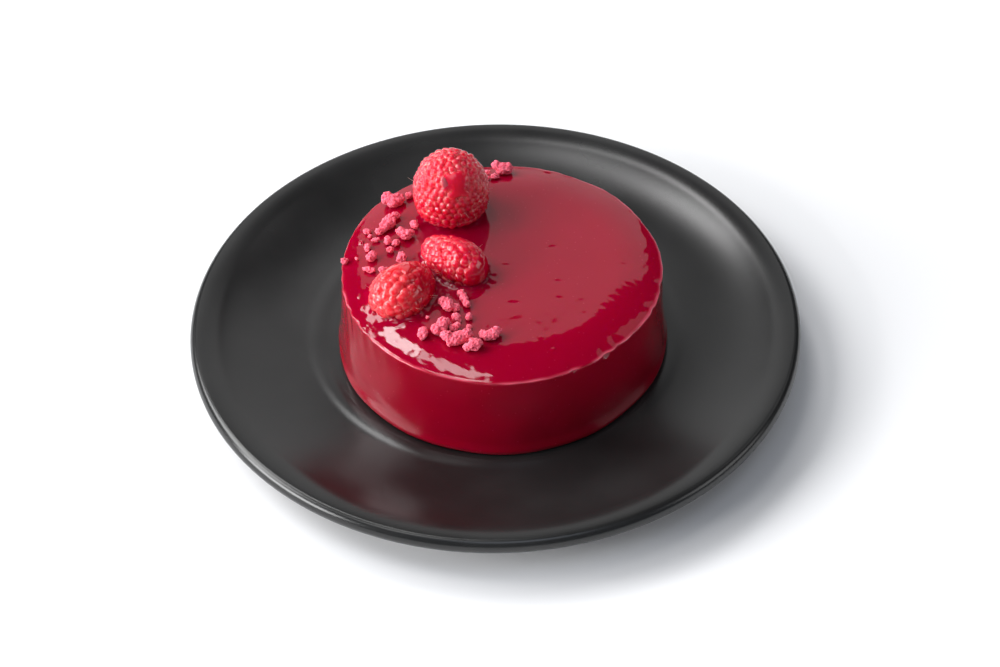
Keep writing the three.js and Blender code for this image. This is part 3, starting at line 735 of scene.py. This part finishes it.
BACK_CRUMBS = [(0.7, 35.4, 4.4, 4.0, 15), (-1.2, 32.6, 2.5, 2.0, 10), (-3.1, 34.4, 1.8, 1.5, 0),
               (-2.9, 32.0, 1.5, 1.1, 80)]
# Patches of finer crumbs: centre, half length, half width, turn and count.
SPRINKLES = [(-31, 8, 18, 5, 97, 10), (-11, -22, 9, 5, 150, 5)]
CRUMB_SINK = 0.2  # how deep a crumb sits in the glaze, as a share of its radius
EDGE_MARGIN = 1.8  # how far strewn crumbs keep from the edge
CRUMB_BODY = 0.8  # the body's share of a crumb that has buds
BUD_LENGTHS = (2.2, 3.8)  # lengths from which a crumb has one bud and two
CRUMB_VOXEL = 0.16
KNOBS = 12  # on a lump, and half as many on one whose least half size is up to KNOBS_FROM
KNOBS_FROM = 0.7
LUMP_CORNERS = 12  # draws that shape one lump of the solid, passed over here
KNOB_SIZES = (0.32, 0.58)  # as shares of the lump's least half size
GRAIN = {"pitch": 2.6, "depth": 0.2}  # swellings per millimetre, and how far they push in and out
PORES = {"pitch": 1.05, "reach": 0.36, "depth": 0.3}  # reach is a share of the space between pores
DRIED_DARK = "E64E68"
DRIED_PALE = "FA7E92"
DRIED_PORE_SHADE = "B82444"


def draws(seed):
    """Repeatable draws between 0 and 1."""
    state = seed
    while True:
        state = state * 16807 % 2147483647
        yield state / 2147483647


def between(low, high, draw):
    """A value drawn between two others."""
    return low + (high - low) * next(draw)


def pass_over(count, draw):
    """Leave out draws that shape the solid's lumps only, so that the next ones are the same here."""
    for _ in range(count):
        next(draw)


def on_glaze(x, y, rise):
    """A point at a height above the glaze, from the cake's axis."""
    fall = max((math.hypot(x, y) - FLAT_RADIUS) / (EDGE_RADIUS - FLAT_RADIUS), 0) ** 2
    return Vector((CAKE_X + x, CAKE_Y + y, CAKE_TOP - EDGE_DROP * fall + rise))


def crumb_lumps(x, y, long, wide, degrees, draw):
    """The lumps of one crumb, as centre, half sizes and turn: a body with buds at its ends."""
    turn = math.radians(degrees)
    buds = sum(long > limit for limit in BUD_LENGTHS)
    share = CRUMB_BODY if buds else 1
    half = wide / 2
    thick = half * share
    lumps = [(on_glaze(x, y, thick * (1 - CRUMB_SINK)), (long / 2 * share, thick, thick), turn)]
    pass_over(LUMP_CORNERS, draw)
    for i in range(buds):
        reach = (long / 2 - half * 0.45) * (-1 if i % 2 else 1) * between(0.75, 1.05, draw)
        aside = half * (between(-0.25, 0.25, draw) + (0.4 if i else 0))
        size = half * between(0.5, 0.75, draw)
        px = x + math.cos(turn) * reach - math.sin(turn) * aside
        py = y + math.sin(turn) * reach + math.cos(turn) * aside
        rise = size * (1 - CRUMB_SINK) + half * between(0, 0.5, draw)
        lumps.append((on_glaze(px, py, rise), (size, size, size), turn))
        pass_over(LUMP_CORNERS, draw)
    return lumps


def all_lumps():
    """Every crumb's lumps, the placed ones first and then the strewn finer ones."""
    draw = draws(4127)
    lumps = []
    for spec in LEFT_CRUMBS + FRONT_CRUMBS + BACK_CRUMBS:
        lumps += crumb_lumps(*spec, draw)
    for cx, cy, long, wide, turn, count in SPRINKLES:
        c, s = math.cos(math.radians(turn)), math.sin(math.radians(turn))
        for _ in range(count):
            u, v = between(-long, long, draw), between(-wide, wide, draw)
            x, y = cx + u * c - v * s, cy + u * s + v * c
            size, degrees = between(0.7, 1.4, draw), 360 * next(draw)
            if math.hypot(x, y) <= EDGE_RADIUS - EDGE_MARGIN:
                lumps += crumb_lumps(x, y, size, size * 0.8, degrees, draw)
    return lumps


def freeze_dried_fruit():
    """Freeze-dried raspberry: a dry matt pink sponge, mottled by its grain, its pores darkened as painted
    shade.
    """
    material, tree, at = new_material("raspberry_freeze_dried")
    pore_shade = add_node(tree, "Attribute", attribute_name="pore_shade")
    grain = add_node(tree, "TexNoise", {"Vector": at, "Scale": 1 / (0.5 * MM), "Detail": 4})
    body = add_node(tree, "ValToRGB", {"Fac": grain.outputs["Fac"]},
                    stops=[(0.3, DRIED_DARK), (0.65, DRIED_PALE)])
    # Painted shade: the pores darkened by how deep each point lies in one.
    colour = add_node(tree, "Mix", {0: pore_shade.outputs["Fac"], 6: body.outputs["Color"],
                                    7: linear(DRIED_PORE_SHADE)}, data_type="RGBA")
    relief = add_node(tree, "Bump", {"Height": grain.outputs["Fac"], "Distance": 0.12 * MM})
    return surfaced(material, "BsdfPrincipled", {
        "Base Color": colour.outputs[2], "Roughness": 0.85, "Normal": relief.outputs["Normal"],
        "Specular IOR Level": 0.25, "Subsurface Weight": 0.45, "Subsurface Scale": 0.7 * MM,
        "Subsurface Radius": (1.0, 0.35, 0.35),
    })


def ball(steps):
    """Points and faces of a unit ball, as a subdivided icosahedron."""
    shape = bmesh.new()
    bmesh.ops.create_icosphere(shape, subdivisions=steps, radius=1)
    points = np.array([v.co for v in shape.verts])
    faces = [[v.index for v in f.verts] for f in shape.faces]
    shape.free()
    return points, faces


def crumb_mesh():
    """All crumbs as one skin in millimetres: each lump studded with small knobs, all melted together."""
    body, body_faces = ball(2)
    knob, knob_faces = ball(1)
    draw = np.random.default_rng(66)
    points, faces = [], []
    start = 0

    def add(shape, shape_faces):
        nonlocal start
        points.append(shape)
        faces.extend([start + i for i in face] for face in shape_faces)
        start += len(shape)

    for centre, sizes, turn in all_lumps():
        c, s = math.cos(turn), math.sin(turn)
        aligned = np.array(((c, s, 0), (-s, c, 0), (0, 0, 1)))
        half = np.array(sizes)
        add(body * half @ aligned + centre, body_faces)
        count = KNOBS if half.min() > KNOBS_FROM else KNOBS // 2
        for _ in range(count):
            toward = draw.normal(0, 1, 3)
            toward[2] = abs(toward[2]) * 0.9 - 0.2
            toward /= np.linalg.norm(toward)
            size = half.min() * draw.uniform(*KNOB_SIZES)
            place = toward * (half * 1.05 - size * 0.55) @ aligned + centre
            add(knob * size + place, knob_faces)
    lumps = bpy.data.meshes.new("lumps")
    lumps.from_pydata(np.vstack(points).tolist(), [], faces)
    holder = bpy.data.objects.new("lumps", lumps)
    bpy.context.scene.collection.objects.link(holder)
    melt = holder.modifiers.new("melt", "REMESH")
    melt.mode = "VOXEL"
    melt.voxel_size = CRUMB_VOXEL
    bpy.context.view_layer.update()
    melted = bpy.data.meshes.new_from_object(holder.evaluated_get(bpy.context.evaluated_depsgraph_get()))
    bpy.data.objects.remove(holder)
    return melted


def roughened(mesh):
    """The crumbs' points pushed in and out by grain and pores, and how deep each lies, for painted shade.
    """
    co = np.array([v.co for v in mesh.vertices])
    normals = np.array([v.normal for v in mesh.vertices])
    fine = np.array([noise.noise(Vector(p) * GRAIN["pitch"]) for p in co])
    cells = np.array([noise.voronoi(Vector(p) * PORES["pitch"])[0][0] for p in co])
    pores = np.clip(1 - cells / PORES["reach"], 0, 1)
    push = GRAIN["depth"] * fine - PORES["depth"] * pores
    return co + normals * push[:, None], np.clip(pores - fine, 0, 1)


melted = crumb_mesh()
crumb_points, crumb_pore_shade = roughened(melted)
crumb_faces = [list(face.vertices) for face in melted.polygons]
crumbs = mesh_piece("raspberry_crumbs", crumb_points * MM, crumb_faces, freeze_dried_fruit())
# Painted shade: how deep each point lies in the pores.
pore_shade_layer = crumbs.data.attributes.new("pore_shade", "FLOAT", "POINT")
pore_shade_layer.data.foreach_set("value", crumb_pore_shade)
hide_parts("cake")

# ---------------------------------------------------------------------------------------------
# Floor and light. A plain white table under large soft lights: the two strongest stand on the left,
# strips overhead draw the highlight along the glaze's edge, and the top mirrors a dim panel behind.
# Weak ones fill the shadows from the front and the right.
# ---------------------------------------------------------------------------------------------
FLOOR_SIZE = 8  # metres
TABLE_DARK = "F0F0F1"
TABLE_PALE = "F3F3F4"
COOL = (0.88, 0.97, 1.13)  # the daylight that fills the shadows


def table_paint():
    """White paint on the table: plain and matt."""
    material, tree, at = new_material("white_table_painted")
    tone = add_node(tree, "TexNoise", {"Vector": at, "Scale": 3})
    colour = add_node(tree, "ValToRGB", {"Fac": tone.outputs["Fac"]},
                      stops=[(0.3, TABLE_DARK), (0.7, TABLE_PALE)])
    return surfaced(material, "BsdfDiffuse", {"Color": colour.outputs["Color"]})


half_floor = FLOOR_SIZE / 2
floor_mesh = bpy.data.meshes.new("table")
floor_mesh.from_pydata([(-half_floor, -half_floor, 0), (half_floor, -half_floor, 0),
                        (half_floor, half_floor, 0), (-half_floor, half_floor, 0)], [], [(0, 1, 2, 3)])
floor_mesh.materials.append(table_paint())
floor = bpy.data.objects.new("table", floor_mesh)
bpy.context.scene.collection.objects.link(floor)


def softbox(name, at, width, height, radiance, facing=None, spin=0, tint=(1, 1, 1)):
    """A rectangular light of an even radiance and tint at a place in metres. It faces the cake or
    another direction and is turned about that by some degrees."""
    light = bpy.data.lights.new(name, "AREA")
    light.shape = "RECTANGLE"
    light.size, light.size_y = width, height
    light.energy = radiance * math.pi * width * height
    light.color = tint
    holder = bpy.data.objects.new(name, light)
    holder.location = at
    backwards = Vector(at) - Vector((0, 0, 0.03)) if facing is None else -Vector(facing)
    holder.rotation_mode = "QUATERNION"
    turn = Quaternion((0, 0, 1), math.radians(spin))
    holder.rotation_quaternion = backwards.to_track_quat("Z", "Y") @ turn
    bpy.context.scene.collection.objects.link(holder)
    return holder


def from_angles(azimuth, elevation, distance):
    """A place at degrees right of straight behind the cake, degrees above the table and metres away."""
    a, e = math.radians(azimuth), math.radians(elevation)
    return Vector((math.sin(a) * math.cos(e), math.cos(a) * math.cos(e), math.sin(e))) * distance


softbox("overhead_strip", (-0.483, 0.765, 1.3), 0.2, 0.42, 15, facing=(0, 0, -1), spin=38)
softbox("overhead_near", (-0.223, 0.425, 1.3), 0.15, 0.37, 7.5, facing=(0, 0, -1), spin=38)
softbox("overhead_left", Vector((-0.42, -0.2, 1.35)), 0.35, 0.5, 3.5)
softbox("rear_left", from_angles(-72, 42, 1.4), 0.9, 0.7, 9)
softbox("low_left", from_angles(-108, 20, 1.4), 0.9, 0.55, 14.5)
softbox("backdrop", from_angles(0, 28.5, 1.3), 0.95, 0.87, 0.85)
softbox("right_panel", from_angles(50, 47, 1.5), 0.45, 0.6, 0.6)
softbox("front_fill", from_angles(170, 66, 1.5), 0.7, 0.5, 1.6, tint=COOL)
softbox("right_fill", from_angles(100, 28, 1.5), 0.8, 0.6, 2.1)

world = bpy.data.worlds.new("studio")
bpy.context.scene.world = world
world.use_nodes = True
world.node_tree.nodes.clear()
sky = world.node_tree
seen = add_node(sky, "LightPath").outputs["Is Camera Ray"]
toward = add_node(sky, "TexCoord").outputs["Generated"]
depth = add_node(sky, "SeparateXYZ", {"Vector": toward}).outputs["Y"]
fill = add_node(sky, "MapRange", {"Value": depth, "From Min": 0.05, "From Max": -0.35, "To Min": 0.02,
                                  "To Max": 0.14})
dim = add_node(sky, "Background", {"Color": (*COOL, 1), "Strength": fill.outputs["Result"]})
bright = add_node(sky, "Background", {"Color": (1, 1, 1, 1), "Strength": 1.0})
chosen = add_node(sky, "MixShader", {0: seen, 1: dim.outputs[0], 2: bright.outputs[0]})
add_node(sky, "OutputWorld", {"Surface": chosen.outputs[0]})

bpy.context.scene.view_settings.view_transform = "Standard"
